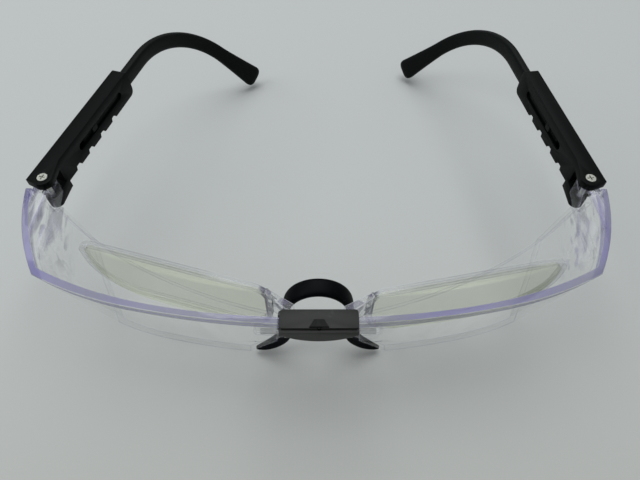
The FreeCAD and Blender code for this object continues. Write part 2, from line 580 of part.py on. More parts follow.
def lens_outline(grow):
    """Rounded lens shape in its own plane, from its near end outward, drawn in by -grow."""
    left, right = f"0 - {grow}", f"lens_length + {grow}"
    foot, top = f"lens_foot - {grow}", f"lens_top + {grow}"
    low_in, low_out, high = f"(inner_round + {grow})", f"(outer_round + {grow})", f"(top_round + {grow})"
    return [(f"{left} + {low_in}", foot), (f"{right} - {low_out}", foot, low_out),
            (right, f"{foot} + {low_out}"), (right, f"{top} - {high}", high),
            (f"{right} - {high}", top), (f"{left} + {high}", top, high),
            (left, f"{top} - {high}"), (left, f"{foot} + {low_in}", low_in)]


def lens_sketch(body, name, side, lift, grow_list):
    """A sketch in the swept-back plane of one lens, holding one loop for each grow."""
    sketch = new_sketch(body, name, XZ, "0")
    sketch.AttachmentOffset = Placement(Vector(0, 0, 0), Rotation(Vector(0, 1, 0), 1))
    sketch.setExpression("AttachmentOffset.Rotation.Angle", bound(f"{side} * insert_sweep * 1deg"))
    sketch.setExpression("AttachmentOffset.Base.x",
                         bound(f"{side} * (lens_near_half + ({lift}) * sin(insert_sweep))"))
    sketch.setExpression("AttachmentOffset.Base.z",
                         bound(f"-1 * (lens_near_back - ({lift}) * cos(insert_sweep))"))
    for grow in grow_list:
        draw_loop(sketch, lens_outline(grow), side)
    return sketch


def insert_body(name):
    """A body that shares the insert's slight yaw about the middle of its tab."""
    return new_body(name, (f"-1 * {INSERT_SHIFT}", "0"), "-1 * insert_yaw")


def make_insert_frame():
    """Two clear rims joined by arms and a bridge, with a tab that slides up into the latch."""
    body = insert_body("insert_frame")
    bridge = new_sketch(body, "bridge_plan", XY, "bridge_foot")
    draw_loop(bridge, [("-1 * bridge_half", "bridge_front"), ("bridge_half", "bridge_front"),
                       ("bridge_half", "bridge_back"), ("-1 * bridge_half", "bridge_back")])
    pad(body, "bridge", bridge, "socket_foot - bridge_gap - bridge_foot")
    tab = new_sketch(body, "tab_plan", XY, "bridge_foot")
    draw_loop(tab, [("-1 * tab_half", TAB_FRONT), ("tab_half", TAB_FRONT),
                    ("tab_half", f"{TAB_FRONT} + tab_thick"), ("-1 * tab_half", f"{TAB_FRONT} + tab_thick")])
    pad(body, "tab", tab, "tab_top - bridge_foot")
    for name, side in SIDES.items():
        arm = new_sketch(body, f"{name}_arm_plan", XY, "arm_foot")
        draw_loop(arm, [("bridge_half - 0.8", "bridge_front + 0.1"),
                        ("bridge_half + 1.4", "bridge_front + arm_set_back"),
                        ("lens_near_half + 1.6", "lens_near_back - 0.5"),
                        ("lens_near_half + 1.0", "lens_near_back + 1.1"),
                        ("bridge_half - 0.8", "bridge_back")], side)
        pad(body, f"{name}_arm", arm, "arm_top - arm_foot")
        ring = lens_sketch(body, f"{name}_rim_outline", side, "rim_depth / 2", ["0", "-1 * rim_width"])
        pad(body, f"{name}_rim", ring, "rim_depth", back=True)
    return body


def make_lens(name, side):
    """A plano-convex lens: a flat-backed blank whose front is trimmed by a large ball."""
    blank = insert_body(f"{name}_lens_blank")
    face = lens_sketch(blank, "blank_outline", side, "lens_edge / 2 + lens_dome", ["-1 * rim_width"])
    pad(blank, "blank", face, "lens_edge + lens_dome", back=True)
    ball = doc.addObject("Part::Sphere", f"{name}_lens_ball")
    ball.setExpression("Radius", bound("lens_front_radius"))
    reach = "(lens_edge / 2 + lens_dome - lens_front_radius)"
    x = f"{side} * (lens_near_half + lens_length / 2 * cos(insert_sweep) + {reach} * sin(insert_sweep))"
    y = f"(lens_near_back + lens_length / 2 * sin(insert_sweep) - {reach} * cos(insert_sweep))"
    ball.setExpression("Placement.Base.x",
                       bound(f"({x}) * cos(insert_yaw) + {y} * sin(insert_yaw) - {INSERT_SHIFT}"))
    ball.setExpression("Placement.Base.y",
                       bound(f"{y} * cos(insert_yaw) - ({x}) * sin(insert_yaw) - origin_back"))
    ball.setExpression("Placement.Base.z", bound("(lens_foot + lens_top) / 2"))
    lens = doc.addObject("Part::Common", f"lens_{name}")
    lens.Base = blank
    lens.Tool = ball
    lens.Label = f"lens_{name}"
    return lens


# ---------------------------------------------------------------- nose saddle

def make_nose_saddle():
    """Rubber strip bent over the nose: crown, legs, flared feet, and ears beside the bosses."""
    body = new_body("nose_saddle")
    strip = new_sketch(body, "strip_outline", XZ, "0", tilt=((1, 0, 0), "-1 * saddle_tilt"))
    # The strip's plane leans: its feet stand further forward than its crown.
    lean = "saddle_back + saddle_width / 2 - saddle_crown * tan(saddle_tilt)"
    strip.setExpression("AttachmentOffset.Base.z", bound(f"-1 * ({lean})"))
    crown, outer = "saddle_crown", "saddle_radius"
    inner = "(saddle_radius - saddle_thick)"
    centre = f"({crown} - {outer})"
    foot_out, foot_in = "saddle_foot_radius", "(saddle_foot_radius + saddle_thick)"
    right = [(outer, centre), (outer, "saddle_leg_foot", foot_out),
             ("saddle_foot_half", "saddle_foot_height + saddle_tip_thick"),
             ("saddle_foot_half", "saddle_foot_height", f"-1 * {foot_in}"),
             (inner, "saddle_leg_foot"), (inner, centre, f"{inner} + {HAIR}")]
    left = [(f"-1 * {inner}", centre), (f"-1 * {inner}", "saddle_leg_foot", f"-1 * {foot_in}"),
            ("-1 * saddle_foot_half", "saddle_foot_height"),
            ("-1 * saddle_foot_half", "saddle_foot_height + saddle_tip_thick", foot_out),
            (f"-1 * {outer}", "saddle_leg_foot"), (f"-1 * {outer}", centre, f"-1 * ({outer} + {HAIR})")]
    draw_loop(strip, right + left)
    pad(body, "strip", strip, "saddle_width")
    for name, side in SIDES.items():
        ear = new_sketch(body, f"{name}_ear_outline", YZ, f"{side} * (boss_inner - ear_gap - ear_thick)")
        draw_loop(ear, [("ear_front", "boss_foot + ear_inset"), ("ear_back", "boss_foot + ear_inset"),
                        ("ear_back", "boss_top - ear_inset"), ("ear_front", "boss_top - ear_inset")])
        pad(body, f"{name}_ear", ear, "ear_thick", back=side == LEFT)
        hole = new_sketch(body, f"{name}_ear_hole_side", YZ, f"{side} * boss_inner")
        draw_circle(hole, "plug_back", "(boss_foot + boss_top) / 2", "plug_radius")
        pocket(body, f"{name}_ear_hole", hole, "ear_thick + 1", along=side == LEFT)
    return body


def make_saddle_plug(name, side):
    """Headed pin pushed through the saddle's ear into the shield's boss."""
    body = new_body(f"{name}_saddle_plug")
    middle = ("plug_back", "(boss_foot + boss_top) / 2")
    seat = f"{side} * (boss_inner - ear_gap - ear_thick)"
    head = draw_circle(new_sketch(body, "head_side", YZ, seat), *middle, "plug_head_radius")
    pad(body, "head", head, "plug_head_thick", back=side == RIGHT)
    shank = draw_circle(new_sketch(body, "shank_side", YZ, seat), *middle, "plug_radius")
    pad(body, "shank", shank, "ear_gap + ear_thick + plug_depth - 0.3", back=side == LEFT)
    return body


# ---------------------------------------------------------------- the whole object

pieces = [make_visor_shield(), make_latch_housing(), make_release_button(), make_button_spring(),
          make_insert_frame(), make_nose_saddle()]
for name, side in SIDES.items():
    place, toe_in = (f"{side} * hinge_half", "hinge_back"), f"{side} * {name}_toe_in"
    pieces += [make_lens(name, side), make_saddle_plug(name, side),
               make_temple_sheath(name, side, place, toe_in), make_ear_stem(name, side, place, toe_in),
               make_hinge_screw(name, place, toe_in),
               make_ring(f"{name}_hinge_nut", place, toe_in, "fork_bottom", "nut_height",
                         corners=hexagon("nut_width")),
               make_ring(f"{name}_hinge_washer", place, toe_in,
                         "sheath_top - screw_head_height - washer_thick", "washer_thick",
                         radius="screw_head_radius", bore="screw_radius + screw_clearance")]
doc.recompute()

for item in doc.Objects:
    if "Invalid" in item.State or "Error" in item.State:
        raise RuntimeError(f"{item.Label} failed: {item.State}")
os.makedirs("parts", exist_ok=True)
for piece in pieces:
    if piece.Shape.isNull() or not piece.Shape.isValid() or len(piece.Shape.Solids) != 1:
        raise RuntimeError(f"{piece.Label} has no valid single solid")
for piece in pieces:
    piece.Shape.exportStep(f"parts/{piece.Label}.step")
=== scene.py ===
import json

import bmesh
import bpy
import numpy as np
from mathutils import Matrix, Vector


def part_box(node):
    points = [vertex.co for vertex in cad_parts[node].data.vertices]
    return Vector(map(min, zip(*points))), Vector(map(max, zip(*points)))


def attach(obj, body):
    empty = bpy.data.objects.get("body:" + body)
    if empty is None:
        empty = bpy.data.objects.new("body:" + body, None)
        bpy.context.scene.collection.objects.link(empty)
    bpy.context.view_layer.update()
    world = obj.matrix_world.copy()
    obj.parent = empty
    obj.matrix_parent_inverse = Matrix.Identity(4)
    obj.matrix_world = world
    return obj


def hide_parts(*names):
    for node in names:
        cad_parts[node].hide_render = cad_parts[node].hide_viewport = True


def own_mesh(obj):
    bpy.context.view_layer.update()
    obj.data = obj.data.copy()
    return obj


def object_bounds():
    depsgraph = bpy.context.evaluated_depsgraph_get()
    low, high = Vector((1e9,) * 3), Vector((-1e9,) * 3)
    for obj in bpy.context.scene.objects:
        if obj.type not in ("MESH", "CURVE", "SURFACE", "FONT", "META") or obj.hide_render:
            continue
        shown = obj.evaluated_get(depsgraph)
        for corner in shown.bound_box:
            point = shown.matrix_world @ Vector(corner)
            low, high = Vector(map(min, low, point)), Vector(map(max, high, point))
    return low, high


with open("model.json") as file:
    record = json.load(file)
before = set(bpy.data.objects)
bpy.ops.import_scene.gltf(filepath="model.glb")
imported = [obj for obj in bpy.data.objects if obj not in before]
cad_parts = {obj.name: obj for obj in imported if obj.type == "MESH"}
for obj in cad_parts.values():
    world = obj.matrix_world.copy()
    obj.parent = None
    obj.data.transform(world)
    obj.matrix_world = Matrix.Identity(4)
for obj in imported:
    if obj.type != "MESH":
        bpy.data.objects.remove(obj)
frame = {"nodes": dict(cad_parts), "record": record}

# The looks of a spectacle-type magnifier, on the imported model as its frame. Lengths are metres,
# or millimetres where a name ends in _mm. Brow coordinates have y = 0 at the middle of the brow's
# front edge; BROW is that point's y in the frame.

CAD_LOW, CAD_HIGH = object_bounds()
NODES = frame["nodes"]
MM = 0.001
SIDES = {"right": 1, "left": -1}
SHIELD_LOW, SHIELD_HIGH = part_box("visor_shield")
BROW = SHIELD_LOW.y
BROW_TOP = SHIELD_HIGH.z


# ---------------------------------------------------------------- camera, floor and light

CAMERA_PLACE_MM = (-1.3, -56.4, 161.7)
CAMERA_PITCH, CAMERA_YAW, CAMERA_ROLL = np.radians((54.9, -1.19, 0.98))
CAMERA_LENS_MM = 29.14
CAMERA_CLIP = 0.005
FLOOR_HALF, FLOOR_GAP = 3.0, 0.00005
# The floor's lit tone behind the object, and the darker, warmer painted shade in front of it.
FLOOR_LIT_TONE = (0.525, 0.545, 0.540, 1)
FLOOR_PAINTED_SHADE = (0.465, 0.472, 0.440, 1)
# How far behind and ahead of the brow the floor turns from its lit tone to painted shade, and how far its
# noise moves that.
FLOOR_BEHIND, FLOOR_AHEAD, FLOOR_DRIFT = 0.090, 0.110, 0.01
CEILING = {"place": (0.0, 0.55, 1.5), "aim": (0, 0.03, 0), "size": 1.4, "power": 16.5,
           "tint": (0.97, 0.99, 1.0)}
WINDOW = {"place": (-0.9, -0.1, 0.9), "aim": (0, 0, 0), "size": 0.7, "power": 3.5,
          "tint": (0.96, 0.98, 1.0)}
WORLD_TINT, WORLD_STRENGTH = (0.80, 0.82, 0.83, 1), 0.36


def add_camera():
    """A camera looking down at the object from in front: pitch below the horizon, then yaw and roll."""
    level = np.array([-np.sin(CAMERA_YAW), np.cos(CAMERA_YAW), 0])
    right = np.array([np.cos(CAMERA_YAW), np.sin(CAMERA_YAW), 0])
    above = np.array([0, 0, 1])
    ahead = level * np.cos(CAMERA_PITCH) - above * np.sin(CAMERA_PITCH)
    top = level * np.sin(CAMERA_PITCH) + above * np.cos(CAMERA_PITCH)
    turned_right = np.cos(CAMERA_ROLL) * right + np.sin(CAMERA_ROLL) * top
    turned_top = np.cos(CAMERA_ROLL) * top - np.sin(CAMERA_ROLL) * right
    data = bpy.data.cameras.new("camera")
    data.lens = CAMERA_LENS_MM
    data.clip_start = CAMERA_CLIP
    camera = bpy.data.objects.new("camera", data)
    place = Vector(CAMERA_PLACE_MM) * MM + Vector((0, BROW, 0))
    axes = Matrix(np.stack([turned_right, turned_top, -ahead], axis=1).tolist())
    camera.matrix_world = Matrix.Translation(place) @ axes.to_4x4()
    bpy.context.scene.collection.objects.link(camera)
    bpy.context.scene.camera = camera


def add_area_light(name, place, aim, size, power, tint):
    """A square soft box at a place, facing the point it aims at."""
    data = bpy.data.lights.new(name, "AREA")
    data.size = size
    data.energy = power
    data.color = tint
    light = bpy.data.objects.new(name, data)
    light.location = place
    light.rotation_euler = (Vector(aim) - Vector(place)).to_track_quat("-Z", "Y").to_euler()
    bpy.context.scene.collection.objects.link(light)


def add_floor():
    """A pale sheet of paper, larger than any view, just under the object's feet: lit and cool behind the
    object, with painted shade, darker and warmer, in front of it."""
    mesh = bpy.data.meshes.new("floor")
    corners = [(-1, -1), (1, -1), (1, 1), (-1, 1)]
    mesh.from_pydata([(x * FLOOR_HALF, y * FLOOR_HALF, CAD_LOW.z - FLOOR_GAP) for x, y in corners],
                     [], [(0, 1, 2, 3)])
    floor = bpy.data.objects.new("floor", mesh)
    bpy.context.scene.collection.objects.link(floor)
    material, tree, shader = new_material("paper_floor")
    place = object_place(tree)
    drift = noise(tree, place, 6.0, 2.0)
    # Painted shade: ahead of the brow the floor fades to a darker, warmer tone.
    ahead = steps(tree, total(tree, axes_of(tree, place)[1], product(tree, drift, FLOOR_DRIFT)),
                  BROW + FLOOR_BEHIND, BROW - FLOOR_AHEAD)
    tree.links.new(mix_colour(tree, ahead, FLOOR_LIT_TONE, FLOOR_PAINTED_SHADE), shader.inputs["Base Color"])
    shader.inputs["Roughness"].default_value = 0.75
    mesh.materials.append(material)


# ---------------------------------------------------------------- node helpers

def new_material(name):
    """An empty node material with one Principled shader wired to its output."""
    material = bpy.data.materials.new(name)
    material.use_nodes = True
    tree = material.node_tree
    return material, tree, tree.nodes["Principled BSDF"]


def object_place(tree):
    """The Object coordinates of a surface."""
    return tree.nodes.new("ShaderNodeTexCoord").outputs["Object"]


def axes_of(tree, place):
    """A position's x, y and z."""
    split = tree.nodes.new("ShaderNodeSeparateXYZ")
    tree.links.new(place, split.inputs[0])
    return split.outputs


def stretched(tree, place, scale):
    """A position scaled differently along each axis, for streaky patterns."""
    node = tree.nodes.new("ShaderNodeMapping")
    node.inputs["Scale"].default_value = scale
    tree.links.new(place, node.inputs["Vector"])
    return node.outputs["Vector"]


def noise(tree, vector, scale, detail=4.0, roughness=0.5):
    """The value of a noise texture."""
    node = tree.nodes.new("ShaderNodeTexNoise")
    node.inputs["Scale"].default_value = scale
    node.inputs["Detail"].default_value = detail
    node.inputs["Roughness"].default_value = roughness
    tree.links.new(vector, node.inputs["Vector"])
    return node.outputs["Fac"]


def colour_ramp(tree, value, stops):
    """Colours by value: stops are (position, colour)."""
    node = tree.nodes.new("ShaderNodeValToRGB")
    ramp = node.color_ramp
    ramp.elements[0].position, ramp.elements[0].color = stops[0]
    ramp.elements[1].position, ramp.elements[1].color = stops[-1]
    for position, colour in stops[1:-1]:
        ramp.elements.new(position).color = colour
    tree.links.new(value, node.inputs["Fac"])
    return node.outputs["Color"]


def maths(tree, operation, first, second=0.0, clamp=False):
    """One Math node; each input is a number or another node's output."""
    node = tree.nodes.new("ShaderNodeMath")
    node.operation = operation
    node.use_clamp = clamp
    for socket, value in zip(node.inputs, (first, second)):
        if isinstance(value, (int, float)):
            socket.default_value = value
        else:
            tree.links.new(value, socket)
    return node.outputs[0]


def product(tree, first, *others, clamp=False):
    """Values multiplied together, one Math node each."""
    for other in others:
        first = maths(tree, "MULTIPLY", first, other, clamp)
    return first


def total(tree, first, *others, clamp=False):
    """Values added up, one Math node each."""
    for other in others:
        first = maths(tree, "ADD", first, other, clamp)
    return first


def mix_colour(tree, share, first, second):
    """A colour between two colours, by a share."""
    node = tree.nodes.new("ShaderNodeMix")
    node.data_type = "RGBA"
    for socket, value in zip((node.inputs[0], node.inputs[6], node.inputs[7]), (share, first, second)):
        if isinstance(value, (int, float, tuple)):
            socket.default_value = value
        else:
            tree.links.new(value, socket)
    return node.outputs[2]


def steps(tree, value, low, high):
    """A smooth rise from 0 at low to 1 at high; high below low makes it a fall."""
    node = tree.nodes.new("ShaderNodeMapRange")
    node.interpolation_type = "SMOOTHSTEP"
    node.inputs["From Min"].default_value = low
    node.inputs["From Max"].default_value = high
    tree.links.new(value, node.inputs["Value"])
    return node.outputs[0]


def raise_surface(tree, shader, height, strength, distance):
    """A bump on the shader's normal."""
    bump = tree.nodes.new("ShaderNodeBump")
    bump.inputs["Strength"].default_value = strength
    bump.inputs["Distance"].default_value = distance
    tree.links.new(height, bump.inputs["Height"])
    tree.links.new(bump.outputs["Normal"], shader.inputs["Normal"])


def build_grain_group():
    """Moulded plastic grain: fine noise and sparse scuffs as a height, a tone and a roughness."""
    group = bpy.data.node_groups.new("moulded_grain", "ShaderNodeTree")
    sockets = group.interface
    for name, kind in (("Vector", "NodeSocketVector"), ("Grain Scale", "NodeSocketFloat"),
                       ("Colour", "NodeSocketColor"), ("Worn Colour", "NodeSocketColor")):
        sockets.new_socket(name=name, in_out="INPUT", socket_type=kind)
    for name, kind in (("Colour", "NodeSocketColor"), ("Height", "NodeSocketFloat"),
                       ("Roughness", "NodeSocketFloat")):
        sockets.new_socket(name=name, in_out="OUTPUT", socket_type=kind)
    entry, leave = group.nodes.new("NodeGroupInput"), group.nodes.new("NodeGroupOutput")
    fine = group.nodes.new("ShaderNodeTexNoise")
    fine.inputs["Detail"].default_value = 3.0
    group.links.new(entry.outputs["Vector"], fine.inputs["Vector"])
    group.links.new(entry.outputs["Grain Scale"], fine.inputs["Scale"])
    broad = noise(group, entry.outputs["Vector"], 160.0, 3.0, 0.6)
    scuff = group.nodes.new("ShaderNodeTexNoise")
    scuff.inputs["Scale"].default_value = 900.0
    scuff.inputs["Distortion"].default_value = 1.2
    group.links.new(entry.outputs["Vector"], scuff.inputs["Vector"])
    worn = product(group, steps(group, broad, 0.52, 0.75), steps(group, scuff.outputs["Fac"], 0.5, 0.7))
    group.links.new(mix_colour(group, worn, entry.outputs["Colour"], entry.outputs["Worn Colour"]),
                    leave.inputs["Colour"])
    group.links.new(fine.outputs["Fac"], leave.inputs["Height"])
    rough = total(group, product(group, fine.outputs["Fac"], 0.16), 0.40, product(group, worn, -0.08))
    group.links.new(rough, leave.inputs["Roughness"])
    return group


GRAIN = build_grain_group()


def moulded_material(name, colour, worn, grain_scale, depth, specular=0.45):
    """Grained black plastic or rubber: the grain group feeds colour, roughness and a bump."""
    material, tree, shader = new_material(name)
    grain = tree.nodes.new("ShaderNodeGroup")
    grain.node_tree = GRAIN
    grain.inputs["Grain Scale"].default_value = grain_scale
    grain.inputs["Colour"].default_value = colour
    grain.inputs["Worn Colour"].default_value = worn
    tree.links.new(object_place(tree), grain.inputs["Vector"])
    tree.links.new(grain.outputs["Colour"], shader.inputs["Base Color"])
    tree.links.new(grain.outputs["Roughness"], shader.inputs["Roughness"])
    raise_surface(tree, shader, grain.outputs["Height"], 0.35, depth)
    shader.inputs["Specular IOR Level"].default_value = specular
    return material


RIPPLE_SCALE = 45.0


def clear_material(name, stops, share, glint, roughness=0.08):
    """Clear moulding as a light veil: share shows face on and glint more at a glance, with a ripple."""
    material, tree, shader = new_material(name)
    drift = noise(tree, object_place(tree), RIPPLE_SCALE, 3.0)
    tree.links.new(colour_ramp(tree, drift, stops), shader.inputs["Base Color"])
    veil(tree, shader, total(tree, product(tree, drift, 0.4 * share), 0.8 * share), glint)
    finish_clear(tree, shader, drift, roughness)
    return material


def veil(tree, shader, share, glint):
    """Alpha from a share face on, rising to glint where the surface turns away."""
    turn = tree.nodes.new("ShaderNodeLayerWeight")
    turn.inputs["Blend"].default_value = 0.5
    away = product(tree, maths(tree, "POWER", turn.outputs["Facing"], 4.0), glint)
    tree.links.new(total(tree, share, away, clamp=True), shader.inputs["Alpha"])


def finish_clear(tree, shader, ripple, roughness):
    """Polished surface with the faint ripple of a moulding."""
    tree.links.new(total(tree, product(tree, ripple, 0.04), roughness), shader.inputs["Roughness"])
    raise_surface(tree, shader, ripple, 0.05, 0.0002)
    shader.inputs["Specular IOR Level"].default_value = 0.6


def dress(node, material):
    """Gives a carried-over CAD node its finish."""
    mesh = NODES[node].data
    if mesh.materials:
        mesh.materials[0] = material
    else:
        mesh.materials.append(material)


# ---------------------------------------------------------------- finishes

# The shield's outline seen from above, in millimetres: the brow's y = a x^2 + b x^4, then the side's
# |x| = a + b t + c t (t - d), with t counted back from the corner.
BROW_SQUARE, BROW_FOURTH = 1.74e-3, 1.63e-7
SIDE_AT_CORNER, SIDE_SLOPE, SIDE_BOW, CORNER_BACK_MM, SIDE_SPAN_MM = 75.3, 0.4777, -0.00751, 14.6, 15.7
# Where the thick edge's violet and the painted streaks of light by the hinges show, each as the two ends of a
# fade: into the plastic from its outline, out from the middle, back from the brow, and down from the brow's
# top.
BROW_EDGE_MM, SIDE_EDGE_MM = (2.2, 1.8), (2.1, 1.7)
SIDE_EDGE_OUT_MM, EDGE_DOWN = (71.0, 74.0), (0.0052, 0.0042)
STREAK_IN_MM, STREAK_OUT_MM = (7.5, 5.5), (72.0, 77.0)
STREAK_BACK_MM, STREAK_DOWN = (17.0, 30.0), (0.026, 0.016)
# Painted refraction streaks and glints: dark violet through grey to white.
PAINTED_STREAK_TONES = [(0.38, (0.10, 0.09, 0.17, 1)), (0.50, (0.36, 0.33, 0.58, 1)),
                (0.56, (0.75, 0.76, 0.80, 1)), (0.66, (0.95, 0.96, 1.0, 1))]
CLEAR_TONES = [(0.3, (0.60, 0.63, 0.64, 1)), (0.7, (0.72, 0.74, 0.72, 1))]
# The thick edge's violet: the plastic's own tint, with a painted glow of light carried inside the edge.
EDGE_TINT_AND_GLOW_TONES = [(0.35, (0.075, 0.065, 0.20, 1)), (0.65, (0.27, 0.245, 0.56, 1))]


def shield_material():
    """Clear shield: violet along the brow's thick edge, the plastic's tint with a painted glow of light
    carried inside the edge, and painted refraction streaks and glints, violet, grey and white, by the hinges.
    """
    material, tree, shader = new_material("clear_shield")
    place = object_place(tree)
    x, y, z = axes_of(tree, place)
    x_mm = product(tree, x, 1000.0)
    y_mm = product(tree, maths(tree, "SUBTRACT", y, BROW), 1000.0)
    square = product(tree, x_mm, x_mm)
    brow_line = total(tree, product(tree, square, BROW_SQUARE), product(tree, square, square, BROW_FOURTH))
    behind = maths(tree, "SUBTRACT", y_mm, brow_line)
    side_x = maths(tree, "ABSOLUTE", x_mm)
    past_corner = maths(tree, "SUBTRACT", y_mm, CORNER_BACK_MM)
    bow = product(tree, past_corner, maths(tree, "SUBTRACT", past_corner, SIDE_SPAN_MM), SIDE_BOW)
    outline = total(tree, product(tree, past_corner, SIDE_SLOPE), SIDE_AT_CORNER, bow)
    inside = maths(tree, "SUBTRACT", outline, side_x)

    # The violet edge band: the plastic's own tint, with a painted glow of light carried inside the thick
    # edge.
    high = steps(tree, z, *(BROW_TOP - down for down in EDGE_DOWN))
    side_edge = product(tree, steps(tree, inside, *SIDE_EDGE_MM), steps(tree, side_x, *SIDE_EDGE_OUT_MM))
    edge = product(tree, maths(tree, "MAXIMUM", steps(tree, behind, *BROW_EDGE_MM), side_edge), high)
    lines = noise(tree, stretched(tree, place, (30.0, 30.0, 900.0)), 1.0, 2.0)
    edge_tint_and_glow = product(tree, edge, total(tree, product(tree, lines, 0.7), 0.50), clamp=True)

    # Painted streaks of refracted light and glints on the side walls by the hinges.
    far_out = product(tree, steps(tree, inside, *STREAK_IN_MM), steps(tree, side_x, *STREAK_OUT_MM))
    low_fade = steps(tree, z, *(BROW_TOP - down for down in STREAK_DOWN))
    back_fade = steps(tree, y_mm, *STREAK_BACK_MM)
    streak = noise(tree, stretched(tree, place, (330.0, 26.0, 190.0)), 1.0, 2.0, 0.6)
    painted_light_streaks = product(tree, far_out, product(tree, low_fade, back_fade), steps(tree, streak, 0.46, 0.56))
    streak_drift = noise(tree, stretched(tree, place, (260.0, 22.0, 150.0)), 1.0, 1.0)

    ripple = noise(tree, place, RIPPLE_SCALE, 3.0)
    tone = mix_colour(tree, painted_light_streaks, colour_ramp(tree, ripple, CLEAR_TONES),
                      colour_ramp(tree, streak_drift, PAINTED_STREAK_TONES))
    tree.links.new(mix_colour(tree, edge_tint_and_glow, tone, colour_ramp(tree, lines, EDGE_TINT_AND_GLOW_TONES)),
                   shader.inputs["Base Color"])
    share = maths(tree, "MAXIMUM", product(tree, edge_tint_and_glow, 0.70), product(tree, painted_light_streaks, 0.42))
    veil(tree, shader, total(tree, share, 0.025), 0.22)
    finish_clear(tree, shader, ripple, 0.06)
    return material


# Where the insert's arms beside the nose carry painted dark violet shade, and the colour of that shade.
ARM_REACH = (0.0168, 0.0152)
ARM_PAINTED_SHADE = (0.085, 0.075, 0.16, 1)


def insert_material():
    """Clear insert whose short arms beside the nose carry patches of painted dark violet shade."""
    material = clear_material("clear_insert", [(0.3, (0.46, 0.48, 0.50, 1)), (0.7, (0.66, 0.68, 0.69, 1))],
                              0.13, 0.45)
    tree = material.node_tree
    shader = tree.nodes["Principled BSDF"]
    colour, alpha = shader.inputs["Base Color"], shader.inputs["Alpha"]
    place = object_place(tree)
    # Painted shade: dark violet patches on the arms beside the nose.
    near = steps(tree, maths(tree, "ABSOLUTE", axes_of(tree, place)[0]), *ARM_REACH)
    patch = noise(tree, stretched(tree, place, (230.0, 330.0, 260.0)), 1.0, 1.0)
    dark = product(tree, near, steps(tree, patch, 0.50, 0.54))
    plain, share = colour.links[0].from_socket, alpha.links[0].from_socket
    tree.links.new(mix_colour(tree, dark, plain, ARM_PAINTED_SHADE), colour)
    tree.links.new(total(tree, share, product(tree, dark, 0.38), clamp=True), alpha)
    return material


def steel_material(name, dark, light, roughness):
    """Turned metal with fine scratches."""
    material, tree, shader = new_material(name)
    scratch = noise(tree, object_place(tree), 2600.0, 4.0, 0.6)
    tree.links.new(colour_ramp(tree, scratch, [(0.3, dark), (0.7, light)]), shader.inputs["Base Color"])
    tree.links.new(total(tree, product(tree, scratch, 0.2), roughness), shader.inputs["Roughness"])
    shader.inputs["Metallic"].default_value = 0.9
    return material


FINISHES = {
    "visor_shield": shield_material(),
    "insert_frame": insert_material(),
    "lens": clear_material("polished_lens", [(0.3, (0.60, 0.68, 0.30, 1)), (0.7, (0.74, 0.80, 0.42, 1))],
                           0.17, 0.12, 0.02),
    "saddle_plug": clear_material("clear_plug", [(0.3, (0.40, 0.41, 0.43, 1)), (0.7, (0.6, 0.6, 0.6, 1))],
                                  0.45, 0.3),
    "latch_housing": moulded_material("latch_black", (0.014, 0.0155, 0.013, 1), (0.028, 0.031, 0.028, 1),
                                      5200.0, 0.00003, 0.28),
    "release_button": moulded_material("button_black", (0.004, 0.0045, 0.004, 1), (0.012, 0.012, 0.012, 1),
                                       5200.0, 0.00003, 0.12),
    "temple_sheath": moulded_material("temple_black", (0.0025, 0.0032, 0.0032, 1), (0.008, 0.010, 0.010, 1),
                                      4200.0, 0.00003, 0.07),
    "ear_stem": moulded_material("stem_black", (0.0018, 0.0034, 0.0030, 1), (0.006, 0.008, 0.008, 1),
                                 3600.0, 0.00002, 0.11),
    "nose_saddle": moulded_material("saddle_rubber", (0.0012, 0.0016, 0.0024, 1), (0.005, 0.005, 0.007, 1),
                                    3000.0, 0.00002, 0.06),
    "hinge_screw": steel_material("screw_bright", (0.42, 0.43, 0.38, 1), (0.60, 0.61, 0.55, 1), 0.28),
    "hinge_washer": steel_material("washer_bright", (0.30, 0.30, 0.28, 1), (0.42, 0.42, 0.40, 1), 0.35),
    "hinge_nut": steel_material("nut_steel", (0.45, 0.45, 0.45, 1), (0.6, 0.6, 0.6, 1), 0.25),
    "button_spring": steel_material("spring_steel", (0.5, 0.5, 0.5, 1), (0.65, 0.65, 0.65, 1), 0.2),
}
# Painted highlight and dark lines on the rounded edges of the clear insert and shield, where light catches
# them.
INSERT_EDGE_PAINTED_LIGHT = clear_material("insert_edge", [(0.42, (0.16, 0.16, 0.20, 1)), (0.56, (0.80, 0.81, 0.86, 1))],
                             0.34, 0.2)
SHIELD_EDGE_PAINTED_LIGHT = clear_material("shield_edge", [(0.42, (0.14, 0.13, 0.24, 1)), (0.56, (0.58, 0.57, 0.74, 1))],
                             0.22, 0.1)


def finish_of(node):
    """The finish for a node: by its whole name, or by its name without its side."""
    return FINISHES.get(node) or FINISHES[node.replace("left", "").replace("right", "").strip("_")]


# ---------------------------------------------------------------- mesh helpers

def body_of(node):
    """The name of the CAD body that holds a node."""
    for body, nodes in frame["record"]["behaviour"]["bodies"].items():
        if node in nodes:
            return body


def stand_in(name, mesh, node, materials):
    """Puts a finished mesh in the scene in place of a CAD node, on the node's own body."""
    piece = bpy.data.objects.new(name, mesh)
    bpy.context.scene.collection.objects.link(piece)
    for material in materials:
        mesh.materials.append(material)
    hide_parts(node)
    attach(piece, body_of(node))
    return piece


MERGE_DISTANCE, FLAT_TURN, ROUND_TURN = 2e-6, np.radians(0.4), np.radians(35.0)
RING_POINTS = 40


